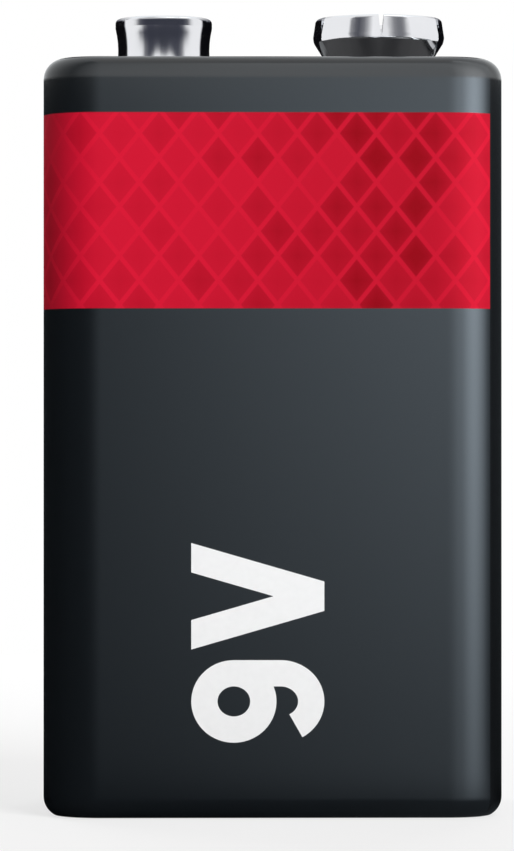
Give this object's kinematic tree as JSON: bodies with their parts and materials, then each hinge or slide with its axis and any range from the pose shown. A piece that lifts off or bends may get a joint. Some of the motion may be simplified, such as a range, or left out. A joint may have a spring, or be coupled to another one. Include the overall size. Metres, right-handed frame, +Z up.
{
  "type": "nine volt battery",
  "caption": "Rectangular snap-terminal battery: a crimped metal jacket in printed film holds round cells in series under a board with a snap stud and a sprung snap socket.",
  "frame": {"origin": "on the surface the battery stands on, under the middle of its case", "axes": "+Z up towards the terminals, +X from the positive stud to the negative socket, -Y the front face that carries the large print"},
  "size_m": [0.0264, 0.017, 0.0465],
  "materials": {
    "tinplate": "satin",
    "printed_film": "satin printed film",
    "board_plastic": "matt",
    "terminal_plating": "bright nickel plate",
    "rivet_steel": "satin",
    "nickel_strip": "satin",
    "fibre_board": "matt",
    "liner_paper": "matt",
    "cell_steel": "satin",
    "seal_plastic": "matt",
    "sleeve_film": "satin"
  },
  "bodies": {
    "root": {"jacket": "tinplate", "label_film": "printed_film", "terminal_board": "board_plastic", "positive_stud": "terminal_plating", "negative_socket": "terminal_plating", "terminal_rivets": "rivet_steel", "positive_lead": "nickel_strip", "negative_lead": "nickel_strip", "top_pad": "fibre_board", "base_pad": "fibre_board", "cell_liner": "liner_paper", "base_plate": "board_plastic", "base_link_1": "nickel_strip", "base_link_2": "nickel_strip", "base_link_3": "nickel_strip", "top_link_1": "nickel_strip", "top_link_2": "nickel_strip", "cell_can_1": "cell_steel", "cell_seal_1": "seal_plastic", "cell_cap_1": "cell_steel", "cell_sleeve_1": "sleeve_film", "cell_can_2": "cell_steel", "cell_seal_2": "seal_plastic", "cell_cap_2": "cell_steel", "cell_sleeve_2": "sleeve_film", "cell_can_3": "cell_steel", "cell_seal_3": "seal_plastic", "cell_cap_3": "cell_steel", "cell_sleeve_3": "sleeve_film", "cell_can_4": "cell_steel", "cell_seal_4": "seal_plastic", "cell_cap_4": "cell_steel", "cell_sleeve_4": "sleeve_film", "cell_can_5": "cell_steel", "cell_seal_5": "seal_plastic", "cell_cap_5": "cell_steel", "cell_sleeve_5": "sleeve_film", "cell_can_6": "cell_steel", "cell_seal_6": "seal_plastic", "cell_cap_6": "cell_steel", "cell_sleeve_6": "sleeve_film"}
  },
  "joints": []
}
